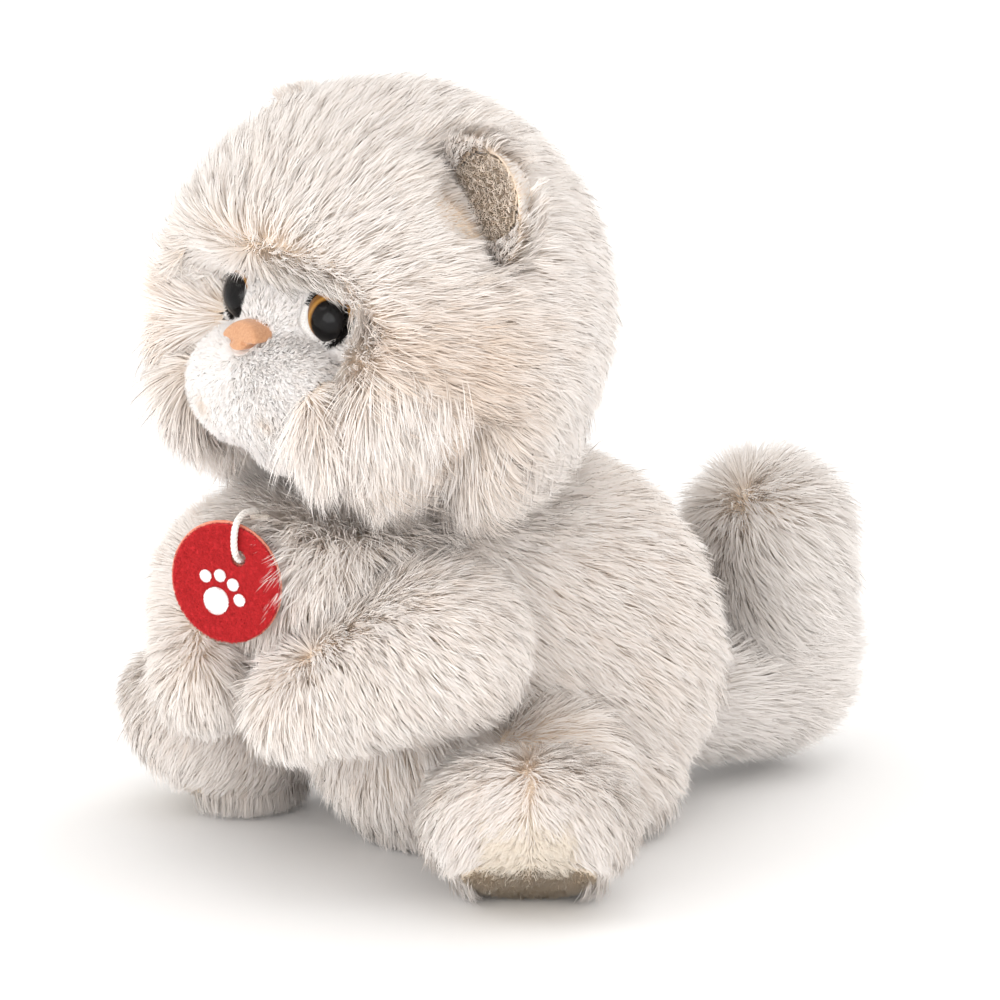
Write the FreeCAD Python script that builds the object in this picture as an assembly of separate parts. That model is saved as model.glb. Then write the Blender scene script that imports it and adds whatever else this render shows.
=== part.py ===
"""Plush cat: a long-pile toy cat that sits crouched, faces -Y, and rests on z = 0.

Millimetres, +Z up, origin on the floor under the middle of the toy. +X is the cat's left side.
Every cover is the pile and its backing cloth as one closed shell round its stuffing.
"""
import FreeCAD
import Part
import os
from math import asin, cos, pi, radians, sin, tan

Vector = FreeCAD.Vector
SIDES = {"left": 1, "right": -1}
FAR = 400.0

# Overall
LENGTH = 248.0
HEIGHT = 237.0
GAP = 0.6
CLOTH = 2.0

# Head, a ball that every neck movement turns about its own centre
HEAD_RADIUS = 70.0
HEAD_CENTRE = Vector(0, HEAD_RADIUS - LENGTH / 2, HEIGHT - HEAD_RADIUS)
HEAD_PILE = 21.0

# Face, a short-pile mask at the bottom of a round well in the head's long pile
WELL_RADIUS = 36.0
WELL_DROP = 12.0
WELL_RIM = 3.0
MASK_RADIUS = 44.0
MASK_OFFSET = Vector(0, -2, -5)
MASK_CLOTH = 3.0
MUZZLE_RADIUS = 19.0
MUZZLE_HALF_WIDTH = 12.0
MUZZLE_OFFSET = Vector(0, -42, -18)
CHIN_RADIUS = 14.0
CHIN_OFFSET = Vector(0, -36, -31)

# Nose, a mushroom outline with a nostril notch in each side
NOSE_OFFSET = Vector(0, -48, -0.5)
NOSE_DEPTH = 7.5
NOSE_HALF_WIDTH = 9.6
NOSE_TOP = 5.6
NOSE_BOTTOM = -6.0
NOSE_STEM = 4.2
NOSE_CORNER = 1.2
NOSE_WING_MIDDLE = -1.6
NOSE_WING_LOW = -2.4
NOSTRIL = Vector(5.0, 0, -2.9)

# Mouth thread, pulled through the muzzle from corner to corner
MOUTH_OFFSET = Vector(0, -54.5, -22.5)
MOUTH_HALF_WIDTH = 12.0
THREAD_RADIUS = 0.9
KNOT_RADIUS = 1.5

# Eyes, safety eyes with a domed lens, a painted disc on a shank, and a washer inside
EYE_OFFSET = Vector(20.5, -38.0, 6.5)
EYE_AXIS = Vector(0.20, -0.97, 0.10)
EYE_RADIUS = 7.8
LENS_HEIGHT = 5.0
DISC_THICKNESS = 2.5
SHANK_RADIUS = 2.4
SHANK_LENGTH = 14.0
WASHER_RADIUS = 8.0
WASHER_THICKNESS = 1.6
WASHER_DEPTH = 8.0

# Ears, half discs on a soft root that folds
EAR_DIRECTION = Vector(0.744, 0.049, 0.666)
EAR_ROOT = 54.5
EAR_RADIUS = 22.0
EAR_THICKNESS = 7.0
LINING_RADIUS = 17.5
LINING_THICKNESS = 2.5
EAR_FOLD = 20.0
EAR_POCKET_REACH = 34.0

# Torso, balls and a taper that run into each other, cut flat at the floor
PELVIS = (Vector(0, 10, 50), 56.0)
CHEST = (Vector(0, -62, 85), 46.0)
SEAT = (Vector(0, -4, 14), 57.0)
BELLY = (Vector(0, -34, 38), 44.0)
THIGH = (Vector(40, -26, 28), 30.0)
TORSO_PILE = 16.0
STUFFING_FLOOR = 14.0
PANEL_RADIUS = 46.0
PANEL_THICKNESS = 3.0

# Weighted pouch low in the seat, in front of the tail's root
POUCH_CENTRE = Vector(0, -10, 24)
POUCH_RADIUS = 29.0
POUCH_EDGE = 8.0
POUCH_CLOTH = 1.5

# Neck, a stuffed plug between torso and head, and the thread that closes the neck seam
NECK_RADIUS = 15.0
NECK_BOTTOM = 80.0
NECK_THREAD_RADIUS = 39.0
NECK_THREAD_DEPTH = 60.2

# Forelegs
SHOULDER = (Vector(46, -72, 76), 29.0)
FOREPAW_RADIUS = 18.0
FOREPAW = (Vector(21, FOREPAW_RADIUS - LENGTH / 2, 58), FOREPAW_RADIUS)
FORELEG_PILE = 10.0

# Hind feet, round pads splayed outward with the toe end tipped up
SOLE_CENTRE = Vector(80, -65, 0)
SPLAY = Vector(0.76, -0.65, 0)
FOOT_TILT = 25.0
FOOT_RING = 12.0
FOOT_EDGE = 21.0
FOOT_PILE = 8.0
SOLE_THICKNESS = 4.0

# Tail, an elbow that lies on the floor and then stands up
TAIL_RADIUS = 25.5
TAIL_ROOT = (Vector(0, 46, 27), 19.0)
TAIL_BEND = (Vector(0, LENGTH / 2 - TAIL_RADIUS, 28), TAIL_RADIUS)
TAIL_TIP = (Vector(0, LENGTH / 2 - TAIL_RADIUS, 73), TAIL_RADIUS)
TAIL_PILE = 14.0
TAIL_SWING = 25.0

# Hang tag, a felt disc on a cord loop from the neck seam
TAG_CENTRE = Vector(0, -114, 93)
TAG_TURN = 22.0
TAG_LEAN = 28.0
TAG_RADIUS = 18.0
FELT_THICKNESS = 1.3
HOLE_RADIUS = 2.5
HOLE_HEIGHT = 9.0
MOTIF_THICKNESS = 0.5
# the paw print, a palm pad and four toe pads on an arc round it
PALM_HEIGHT = -6.5
PALM_RADIUS = 4.2
TOE_ARC = 8.0
TOE_RADIUS = 1.9
TOE_ANGLES = (-54, -18, 18, 54)
CORD_RADIUS = 1.1
CORD_ARC_REACH = 0.45
ANCHOR_OUT = -12.5
ANCHOR_UP = 9.5
ANCHOR_RADIUS = 1.0
ANCHOR_HALF_LENGTH = 3.0
# the loop's route through the tag's hole: millimetres out from the tag and up from its hole
CORD_ROUTE = [
    (-10.6, 11.8),
    (-6.2, 12.7),
    (-1.6, 13.0),
    (2.4, 10.9),
    (3.7, 6.6),
    (3.3, 2.2),
    (0.6, -0.9),
    (-3.2, -0.6),
    (-6.4, 2.9),
    (-9.6, 7.6),
]


# Basic solids

def ball(centre, radius):
    return Part.makeSphere(radius, centre)


def rod(start, end, radius):
    return Part.makeCylinder(radius, (end - start).Length, start, end - start)


def turned(outline, start, direction):
    """Revolve an outline, given in the X-Y plane round X, and lay X along a direction from a point."""
    solid = Part.Face(Part.Wire(outline)).revolve(Vector(0, 0, 0), Vector(1, 0, 0), 360)
    solid.Placement = FreeCAD.Placement(start, FreeCAD.Rotation(Vector(1, 0, 0), direction))
    return solid


def line(a, b):
    return Part.LineSegment(a, b).toShape()


def arc(a, middle, b):
    return Part.Arc(a, middle, b).toShape()


def taper(start, end, grow=0.0):
    """The skin pulled tight over two balls, each given as (centre, radius)."""
    (a, ra), (b, rb) = start, end
    ra, rb = ra + grow, rb + grow
    length = (b - a).Length
    lean = asin((ra - rb) / length)
    touch_a = Vector(ra * sin(lean), ra * cos(lean), 0)
    touch_b = Vector(length + rb * sin(lean), rb * cos(lean), 0)
    half_a, half_b = (radians(90) + lean) / 2, (radians(90) - lean) / 2
    outline = [
        arc(Vector(-ra, 0, 0), Vector(-ra * cos(half_a), ra * sin(half_a), 0), touch_a),
        line(touch_a, touch_b),
        arc(touch_b, Vector(length + rb * cos(half_b), rb * sin(half_b), 0), Vector(length + rb, 0, 0)),
        line(Vector(length + rb, 0, 0), Vector(-ra, 0, 0)),
    ]
    return turned(outline, a, b - a)


def puck(ring, edge, middle):
    """A round cushion about Z with a full-round edge, its middle plane at a height."""
    low, high, side = middle - edge, middle + edge, ring + edge
    outline = [
        line(Vector(low, 0, 0), Vector(low, ring, 0)),
        arc(Vector(low, ring, 0), Vector(middle, side, 0), Vector(high, ring, 0)),
        line(Vector(high, ring, 0), Vector(high, 0, 0)),
        line(Vector(high, 0, 0), Vector(low, 0, 0)),
    ]
    return turned(outline, Vector(0, 0, 0), Vector(0, 0, 1))


def above(height):
    return Part.makeBox(2 * FAR, 2 * FAR, FAR, Vector(-FAR, -FAR, height))


def spun(solid, point, axis, angle):
    copy = solid.copy()
    copy.rotate(point, axis, angle)
    return copy


def mirrored(ball_at, side):
    """A (centre, radius) pair or a point, moved to the given side."""
    if isinstance(ball_at, tuple):
        return mirrored(ball_at[0], side), ball_at[1]
    return Vector(side * ball_at.x, ball_at.y, ball_at.z)


def unit(vector):
    return Vector(vector) / vector.Length


# Head

def on_head(offset):
    return HEAD_CENTRE + offset


def well(radius):
    """The open round well in front of the face, from the head's middle plane forward."""
    start = on_head(Vector(0, 0, -WELL_DROP))
    return rod(start, start + Vector(0, -FAR / 2, 0), radius)


def face_form(inset):
    """The mask, the muzzle across it and the chin under it."""
    middle = on_head(MUZZLE_OFFSET)
    half = Vector(MUZZLE_HALF_WIDTH, 0, 0)
    radius = MUZZLE_RADIUS - inset
    muzzle = taper((middle - half, radius), (middle + half, radius))
    mask = ball(on_head(MASK_OFFSET), MASK_RADIUS - inset)
    chin = ball(on_head(CHIN_OFFSET), CHIN_RADIUS - inset)
    return mask.fuse([muzzle, chin])


def nose():
    """The nose pad: a rounded top, a wing and a nostril notch on each side, and a stem below."""
    stem = Vector(NOSE_STEM, 0, NOSE_BOTTOM + NOSE_CORNER)
    edges = [arc(Vector(-NOSE_HALF_WIDTH, 0, 0), Vector(0, 0, NOSE_TOP), Vector(NOSE_HALF_WIDTH, 0, 0))]
    edges.append(arc(stem, Vector(0, 0, NOSE_BOTTOM), mirrored(stem, -1)))
    for side in SIDES.values():
        wing = mirrored(Vector(NOSE_HALF_WIDTH, 0, 0), side)
        wing_middle = mirrored(Vector(NOSE_HALF_WIDTH, 0, NOSE_WING_MIDDLE), side)
        wing_low = mirrored(Vector(NOSE_HALF_WIDTH - NOSE_CORNER, 0, NOSE_WING_LOW), side)
        edges.append(arc(wing, wing_middle, wing_low))
        edges.append(arc(wing_low, mirrored(NOSTRIL, side), mirrored(stem, side)))
    outline = Part.Wire(Part.sortEdges(edges)[0])
    pad = Part.Face(outline).extrude(Vector(0, -NOSE_DEPTH, 0))
    pad.translate(on_head(NOSE_OFFSET))
    return pad


def mouth_thread():
    middle, half = on_head(MOUTH_OFFSET), Vector(MOUTH_HALF_WIDTH, 0, 0)
    thread = rod(middle - half, middle + half, THREAD_RADIUS)
    return thread.fuse([ball(middle - half, KNOT_RADIUS), ball(middle + half, KNOT_RADIUS)])


def eye(side):
    """Lens, painted disc with its shank, and washer, along the eye's own axis."""
    base = on_head(mirrored(EYE_OFFSET, side))
    axis = mirrored(unit(EYE_AXIS), side)
    bulge = (EYE_RADIUS**2 + LENS_HEIGHT**2) / (2 * LENS_HEIGHT)
    dome = ball(base + axis * (LENS_HEIGHT - bulge), bulge)
    lens = dome.common(rod(base, base + axis * LENS_HEIGHT, 2 * EYE_RADIUS))
    back = base - axis * DISC_THICKNESS
    disc = rod(back, base, EYE_RADIUS).fuse(rod(back - axis * SHANK_LENGTH, back, SHANK_RADIUS))
    washer_back = back - axis * WASHER_DEPTH
    washer = rod(washer_back, washer_back + axis * WASHER_THICKNESS, WASHER_RADIUS)
    return {"eye_lens": lens, "eye_disc": disc, "eye_washer": washer.cut(disc)}


def ear_axes(side):
    """The ear's root point, its upward and backward directions, and its fold axis."""
    up = mirrored(unit(EAR_DIRECTION), side)
    along = unit(up.cross(Vector(0, 1, 0)))
    back = unit(along.cross(up))
    if back.y < 0:
        back = back * -1
    return HEAD_CENTRE + up * EAR_ROOT, up, back, along


def half_disc(root, up, back, radius, start, thickness):
    """The upper half of a disc that faces backward, from a start behind the root."""
    disc = Part.makeCylinder(radius, thickness, root + back * start, back)
    return disc.common(rod(root, root + up * radius, 2 * radius))


def ear(side):
    root, up, back, along = ear_axes(side)
    body = half_disc(root, up, back, EAR_RADIUS, -EAR_THICKNESS / 2, EAR_THICKNESS)
    half = along * EAR_RADIUS
    body = body.fuse(rod(root - half, root + half, EAR_THICKNESS / 2))
    lining_root = root + up * (EAR_THICKNESS / 2)
    lining = half_disc(lining_root, up, back, LINING_RADIUS, -EAR_THICKNESS / 2, LINING_THICKNESS)
    return {"ear_cover": body.cut(lining), "ear_lining": lining.common(body)}


def ear_pocket(side):
    """The wedge of room in the head's pile that the ear folds in."""
    root, up, back, along = ear_axes(side)
    half_thick = EAR_THICKNESS / 2 + GAP
    half = EAR_RADIUS + GAP
    fold = radians(EAR_FOLD)

    def at(sign, distance):
        swung_up = up * cos(fold) + back * (sign * sin(fold))
        swung_back = back * (sign * cos(fold)) - up * sin(fold)
        return root + swung_up * distance + swung_back * half_thick - along * half

    corners = [at(1, 0), at(1, EAR_POCKET_REACH), at(-1, EAR_POCKET_REACH), at(-1, 0)]
    edges = [line(a, b) for a, b in zip(corners, corners[1:] + corners[:1])]
    wedge = Part.Face(Part.Wire(edges)).extrude(along * (2 * half))
    return wedge.fuse(rod(root - along * half, root + along * half, half_thick))


def head():
    parts = {"nose": nose(), "mouth_thread": mouth_thread()}
    for name, side in SIDES.items():
        for key, solid in {**eye(side), **ear(side)}.items():
            parts[f"{key}_{name}"] = solid
    inside = [parts[key] for key in parts if key.startswith(("eye", "nose", "mouth"))]
    core = ball(HEAD_CENTRE, HEAD_RADIUS - HEAD_PILE)
    neck_stub = rod(HEAD_CENTRE - Vector(0, 0, FAR / 2), HEAD_CENTRE, NECK_RADIUS)
    shape = ball(HEAD_CENTRE, HEAD_RADIUS)
    stuffing = core.cut(well(WELL_RADIUS + WELL_RIM)).fuse(face_form(MASK_CLOTH))
    stuffing = stuffing.fuse(neck_stub.common(shape))
    pockets = [ear_pocket(side) for side in SIDES.values()]
    parts["head_cover"] = shape.cut([well(WELL_RADIUS), *pockets]).cut(stuffing)
    panel = face_form(0).common(well(WELL_RADIUS)).cut(stuffing)
    parts["face_panel"] = panel.cut(inside)
    parts["head_stuffing"] = stuffing.cut(inside)
    return parts


# Torso

def torso_form(inset, floor):
    lobes = [SEAT, BELLY] + [mirrored(THIGH, side) for side in SIDES.values()]
    trunk = taper(PELVIS, CHEST, -inset)
    return trunk.fuse([ball(at, radius - inset) for at, radius in lobes]).common(above(floor))


def foreleg_form(side, grow=0.0):
    return taper(mirrored(SHOULDER, side), mirrored(FOREPAW, side), grow)


def tail_form(grow=0.0):
    return taper(TAIL_ROOT, TAIL_BEND, grow).fuse(taper(TAIL_BEND, TAIL_TIP, grow))


def tail_rooms(grow):
    """The ball that the tail's root turns in, and the tail at five steps of its swing."""
    centre, radius = TAIL_ROOT
    tube = taper(TAIL_ROOT, TAIL_BEND, grow)
    steps = (-TAIL_SWING, -TAIL_SWING / 2, 0, TAIL_SWING / 2, TAIL_SWING)
    swung = [spun(tube, centre, Vector(0, 0, 1), angle) for angle in steps]
    return [ball(centre, radius + grow + GAP / 2), *swung]


def foot_form(side, inset=0.0):
    """The foot's pad, tipped up at the toe and set down with its lowest edge on the floor."""
    return set_foot(puck(FOOT_RING, FOOT_EDGE - inset, FOOT_EDGE), side)


def set_foot(solid, side):
    tilt = radians(FOOT_TILT)
    lift = FOOT_RING * sin(tilt) + FOOT_EDGE * (1 - cos(tilt))
    across = mirrored(SPLAY, side).cross(Vector(0, 0, 1))
    placed = spun(solid, Vector(0, 0, 0), across, FOOT_TILT)
    placed.translate(mirrored(SOLE_CENTRE, side) + Vector(0, 0, lift))
    return placed


def foot(side):
    slab = Part.makeCylinder(FOOT_RING + 2 * FOOT_EDGE, SOLE_THICKNESS)
    sole = foot_form(side).common(set_foot(slab, side))
    stuffing = foot_form(side, FOOT_PILE)
    cover = foot_form(side).cut([sole, stuffing])
    return {"hind_foot_cover": cover, "hind_foot_stuffing": stuffing, "sole_pad": sole}


def neck_bore(grow):
    start = Vector(HEAD_CENTRE.x, HEAD_CENTRE.y, NECK_BOTTOM - grow)
    return rod(start, HEAD_CENTRE, NECK_RADIUS + grow)


def neck_thread():
    down = unit(CHEST[0] - HEAD_CENTRE)
    centre = HEAD_CENTRE + down * NECK_THREAD_DEPTH
    return Part.makeTorus(NECK_THREAD_RADIUS, THREAD_RADIUS, centre, down)


def pouch():
    ring = POUCH_RADIUS - POUCH_EDGE
    shell, fill = puck(ring, POUCH_EDGE, 0), puck(ring, POUCH_EDGE - POUCH_CLOTH, 0)
    for solid in (shell, fill):
        solid.translate(POUCH_CENTRE)
    return {"bean_pouch": shell.cut(fill), "bean_fill": fill}


def torso(anchor):
    parts = {"neck_thread": neck_thread(), **pouch()}
    panel_at = Vector(0, SEAT[0].y, 0)
    parts["seat_panel"] = Part.makeCylinder(PANEL_RADIUS, PANEL_THICKNESS, panel_at)
    outside = cut_each(torso_form(0, 0), rooms(GAP) + [foot_form(side) for side in SIDES.values()])
    inside = cut_each(torso_form(TORSO_PILE, STUFFING_FLOOR), rooms(GAP + CLOTH))
    outside = cut_each(outside, [parts["neck_thread"], parts["seat_panel"], anchor])
    parts["torso_cover"] = hollow(outside, inside)
    parts["torso_stuffing"] = inside.cut([parts["bean_pouch"], parts["bean_fill"]])
    return parts


def rooms(grow):
    """All the room that the moving parts need in the torso."""
    forelegs = [foreleg_form(side, grow) for side in SIDES.values()]
    return [*forelegs, ball(HEAD_CENTRE, HEAD_RADIUS + grow), neck_bore(grow), *tail_rooms(grow)]


def cut_each(solid, tools):
    for tool in tools:
        solid = solid.cut(tool)
    return solid


def hollow(outside, inside):
    """A closed cover with a closed space inside it."""
    lining = inside.Solids[0].OuterShell.reversed()
    return Part.makeSolid(Part.Compound([outside.Solids[0].OuterShell, lining]))


def neck():
    return {"neck_stuffing": neck_bore(0).cut(ball(HEAD_CENTRE, HEAD_RADIUS + GAP))}


def foreleg(side):
    stuffing = foreleg_form(side, -FORELEG_PILE)
    cover = foreleg_form(side).cut(stuffing)
    return {"foreleg_cover": cover, "foreleg_stuffing": stuffing}


def tail():
    stuffing = tail_form(-TAIL_PILE)
    return {"tail_cover": tail_form().cut(stuffing), "tail_stuffing": stuffing}


# Hang tag

TAG_OUT = Vector(sin(radians(TAG_TURN)), -cos(radians(TAG_TURN)), 0)
TAG_RIGHT = Vector(cos(radians(TAG_TURN)), sin(radians(TAG_TURN)), 0)


def on_tag(right, up, out=0.0):
    """A point from the tag's centre, with the tag leaning over by TAG_LEAN in its own plane."""
    lean = radians(TAG_LEAN)
    across = right * cos(lean) + up * sin(lean)
    rise = up * cos(lean) - right * sin(lean)
    return TAG_CENTRE + TAG_RIGHT * across + Vector(0, 0, rise) + TAG_OUT * out


def on_loop(out, up):
    """A point of the cord's loop, from the middle of the tag's hole."""
    return on_tag(0, HOLE_HEIGHT) + TAG_OUT * out + Vector(0, 0, up)


def disc_on_tag(right, up, radius, start, end):
    return rod(on_tag(right, up, start), on_tag(right, up, end), radius)


def tag():
    """Two felt discs back to back, a raised paw-print motif on the front, and the cord."""
    hole = disc_on_tag(0, HOLE_HEIGHT, HOLE_RADIUS, -TAG_RADIUS, TAG_RADIUS)
    front = disc_on_tag(0, 0, TAG_RADIUS, 0, FELT_THICKNESS).cut(hole)
    backing = disc_on_tag(0, 0, TAG_RADIUS, -FELT_THICKNESS, 0).cut(hole)
    top = FELT_THICKNESS + MOTIF_THICKNESS
    motif = [disc_on_tag(0, PALM_HEIGHT, PALM_RADIUS, FELT_THICKNESS, top)]
    for angle in TOE_ANGLES:
        right, up = TOE_ARC * sin(radians(angle)), PALM_HEIGHT + TOE_ARC * cos(radians(angle))
        motif.append(disc_on_tag(right, up, TOE_RADIUS, FELT_THICKNESS, top))
    return {
        "tag_felt": front,
        "tag_backing": backing,
        "tag_motif": Part.Compound(motif),
        "tag_cord": cord([on_loop(out, up) for out, up in CORD_ROUTE]),
    }


def tag_anchor():
    """The stitched bar in the neck seam that the cord comes from."""
    middle = on_loop(ANCHOR_OUT, ANCHOR_UP)
    half = TAG_RIGHT * ANCHOR_HALF_LENGTH
    return rod(middle - half, middle + half, ANCHOR_RADIUS).cut(neck_thread())


def cord(route):
    """A tube along straight runs joined by tangent arcs."""
    edges, start, radii = [], route[0], []
    for before, corner, after in zip(route, route[1:], route[2:]):
        back, ahead = unit(before - corner), unit(after - corner)
        turn = radians(180) - back.getAngle(ahead)
        reach = CORD_ARC_REACH * min((before - corner).Length, (after - corner).Length)
        radius = reach / tan(turn / 2)
        radii.append(radius)
        middle = corner + unit(back + ahead) * (radius / cos(turn / 2) - radius)
        edges.append(line(start, corner + back * reach))
        edges.append(arc(corner + back * reach, middle, corner + ahead * reach))
        start = corner + ahead * reach
    edges.append(line(start, route[-1]))
    path = Part.Wire(edges)
    profile = Part.Wire(Part.makeCircle(CORD_RADIUS, route[0], route[1] - route[0]))
    tube = path.makePipeShell([profile], True, False)
    expected = pi * CORD_RADIUS**2 * path.Length
    print("cord radii", [round(radius, 1) for radius in radii])
    print("cord length", round(path.Length, 1), "volume ratio", round(tube.Volume / expected, 3))
    return tube


# All parts

def build():
    parts = {**head(), **neck(), **tail(), **tag(), "tag_anchor": tag_anchor()}
    for name, side in SIDES.items():
        for key, solid in {**foot(side), **foreleg(side)}.items():
            parts[f"{key}_{name}"] = solid
    parts.update(torso(parts["tag_anchor"]))
    return parts


def main():
    os.makedirs("parts", exist_ok=True)
    for name, shape in sorted(build().items()):
        sound = shape.isValid() and all(solid.isClosed() for solid in shape.Solids)
        print(f"{name:28s} solids {len(shape.Solids)} volume {shape.Volume:10.1f} sound {sound}")
        shape.exportStep(f"parts/{name}.step")


main()
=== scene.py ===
"""Looks of the plush cat: stuffed skins, long and short pile grown as real strands, eyes, nose and tag."""

from math import cos, pi, radians, sin

import bmesh
import bpy
import numpy as np
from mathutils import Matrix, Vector
from mathutils.bvhtree import BVHTree
from mathutils.kdtree import KDTree


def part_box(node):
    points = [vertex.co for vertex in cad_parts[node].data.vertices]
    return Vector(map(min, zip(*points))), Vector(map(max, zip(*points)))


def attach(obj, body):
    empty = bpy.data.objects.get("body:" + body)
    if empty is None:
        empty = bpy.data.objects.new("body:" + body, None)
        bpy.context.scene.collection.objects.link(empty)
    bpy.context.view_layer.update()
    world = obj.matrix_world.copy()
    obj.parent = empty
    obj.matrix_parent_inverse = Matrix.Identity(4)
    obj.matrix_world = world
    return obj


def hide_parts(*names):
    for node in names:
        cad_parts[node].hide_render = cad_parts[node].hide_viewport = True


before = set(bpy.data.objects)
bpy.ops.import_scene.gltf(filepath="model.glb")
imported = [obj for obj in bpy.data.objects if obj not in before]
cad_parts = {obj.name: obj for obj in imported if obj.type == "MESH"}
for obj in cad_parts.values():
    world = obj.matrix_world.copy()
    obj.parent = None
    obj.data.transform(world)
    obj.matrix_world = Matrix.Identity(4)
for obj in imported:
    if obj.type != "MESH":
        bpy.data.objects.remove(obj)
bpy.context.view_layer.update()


def vec(x, y, z):
    return np.array([x, y, z], float)


MM = 0.001
UP = vec(0.0, 0.0, 1.0)
FRONT = vec(0.0, -1.0, 0.0)
LEVEL = vec(1, 1, 0)
SIDEWAYS = vec(1.0, 0, 0)
SIDES = {"left": 1, "right": -1}

# Camera: its angle round the toy, its distance, and the width and middle of what it sees
VIEW_AZIMUTH = 50.0
VIEW_ELEVATION = 14.0
VIEW_DISTANCE = 3.0
VIEW_WIDTH = 0.3045
VIEW_RIGHT = -0.00698
VIEW_UP = 0.09674

# Places that come from the frame
HEAD_LOW, HEAD_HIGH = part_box("head_cover")
HEAD_RADIUS = (HEAD_HIGH.x - HEAD_LOW.x) / 2
HEAD = vec(0.0, HEAD_HIGH.y - HEAD_RADIUS, HEAD_HIGH.z - HEAD_RADIUS)
FACE_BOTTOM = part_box("face_panel")[0].z
NOSE_LOW, NOSE_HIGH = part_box("nose")
NOSE = vec(0, NOSE_LOW.y, (NOSE_LOW.z + NOSE_HIGH.z) / 2)
MOUTH_LOW, MOUTH_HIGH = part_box("mouth_thread")
MOUTH = (MOUTH_LOW + MOUTH_HIGH) / 2
MOUTH_CORNERS = [vec(x, MOUTH.y, MOUTH.z) for x in (MOUTH_LOW.x, MOUTH_HIGH.x)]
TAG_TURN = radians(22)
TAG_LEAN = radians(28)
TAG_OUT = vec(sin(TAG_TURN), -cos(TAG_TURN), 0)
TAG_RIGHT = vec(cos(TAG_TURN), sin(TAG_TURN), 0)


# Small vector helpers, all on arrays of rows
# From here on, p are points on a skin and n are its normals there

def unit(v):
    return v / np.maximum(np.linalg.norm(v, axis=-1, keepdims=True), 1e-12)


def dot(a, b):
    return np.sum(a * b, axis=-1, keepdims=True)


def along_skin(v, n):
    """The part of each vector that lies in the surface, at length 1."""
    return unit(v - dot(v, n) * n)


def ease(x, low, high):
    """0 up to low, 1 from high on, and a smooth rise between."""
    t = np.clip((x - low) / (high - low), 0, 1)
    return t * t * (3 - 2 * t)


def turned_about(v, axis, angle):
    c, s = np.cos(angle)[:, None], np.sin(angle)[:, None]
    return v * c + np.cross(axis, v) * s + axis * dot(axis, v) * (1 - c)


def far_from(points, place):
    return np.linalg.norm(points - place, axis=-1)


def middle_of(node):
    low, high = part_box(node)
    return np.array((low + high) / 2)


# Materials

def new_material(name, roughness, **sockets):
    mat = bpy.data.materials.new(name)
    mat.use_nodes = True
    shader = mat.node_tree.nodes["Principled BSDF"]
    set_inputs(shader, Roughness=roughness, **sockets)
    return mat, mat.node_tree.nodes, shader


def set_inputs(node, **values):
    for key, value in values.items():
        node.inputs[key.replace("_", " ")].default_value = value


def new_node(nodes, kind, operation=None, **values):
    node = nodes.new("ShaderNode" + kind)
    if operation:
        node.operation = operation
    set_inputs(node, **values)
    return node


def wire(start, output, end, socket):
    start.id_data.links.new(start.outputs[output], end.inputs[socket])


def ramp(nodes, stops):
    node = new_node(nodes, "ValToRGB")
    elements = node.color_ramp.elements
    while len(elements) < len(stops):
        elements.new(0.5)
    for element, (place, colour) in zip(elements, stops):
        element.position = place
        element.color = (*colour, 1)
    return node


def colour_and_relief(nodes, shader, source, output, stops, strength, distance):
    """One pattern drives both the colour and the fine relief."""
    tone = ramp(nodes, stops)
    relief = new_node(nodes, "Bump", Strength=strength, Distance=distance)
    wire(source, output, tone, "Fac")
    wire(source, output, relief, "Height")
    wire(tone, "Color", shader, "Base Color")
    wire(relief, "Normal", shader, "Normal")


def strand_material(name, stops, tints, sheen=0.25):
    """Pile: the colour goes from root to tip, and each strand has its own tint."""
    mat, nodes, shader = new_material(name, 0.8, Sheen_Weight=sheen, Sheen_Roughness=0.5,
                                      Specular_IOR_Level=0.25)
    uv = new_node(nodes, "UVMap")
    uv.uv_map = "OFBake"
    parts = new_node(nodes, "SeparateXYZ")
    length_ramp, tint_ramp = ramp(nodes, stops), ramp(nodes, tints)
    mix = nodes.new("ShaderNodeMix")
    mix.data_type = "RGBA"
    mix.blend_type = "MULTIPLY"
    mix.inputs["Factor"].default_value = 1
    wire(uv, "UV", parts, 0)
    wire(parts, "Y", length_ramp, "Fac")
    wire(parts, "X", tint_ramp, "Fac")
    wire(length_ramp, "Color", mix, "A")
    wire(tint_ramp, "Color", mix, "B")
    wire(mix, "Result", shader, "Base Color")
    return mat


def noisy_material(name, dark, light, scale, roughness, bump=0.2, **sockets):
    """A material whose colour wanders between two tones, with fine relief of the same grain."""
    mat, nodes, shader = new_material(name, roughness, **sockets)
    noise = new_node(nodes, "TexNoise", Scale=scale, Detail=6.0)
    wire(new_node(nodes, "TexCoord"), "Object", noise, "Vector")
    colour_and_relief(nodes, shader, noise, "Fac", [(0.3, dark), (0.7, light)], bump, 0.0004)
    return mat


def woven_material(name, dark, light, pitch):
    """Plain weave: two sets of ridges at right angles, with a little wander in them."""
    mat, nodes, shader = new_material(name, 0.9)
    place = new_node(nodes, "TexCoord")
    weave = new_node(nodes, "Math", "MAXIMUM")
    for i, direction in enumerate("XZ"):
        wave = new_node(nodes, "TexWave", Scale=1 / pitch / 3.2, Distortion=0.6)
        wave.bands_direction = direction
        wire(place, "Object", wave, "Vector")
        wire(wave, "Fac", weave, i)
    colour_and_relief(nodes, shader, weave, 0, [(0.2, dark), (0.9, light)], 0.4, 0.0003)
    return mat


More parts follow.
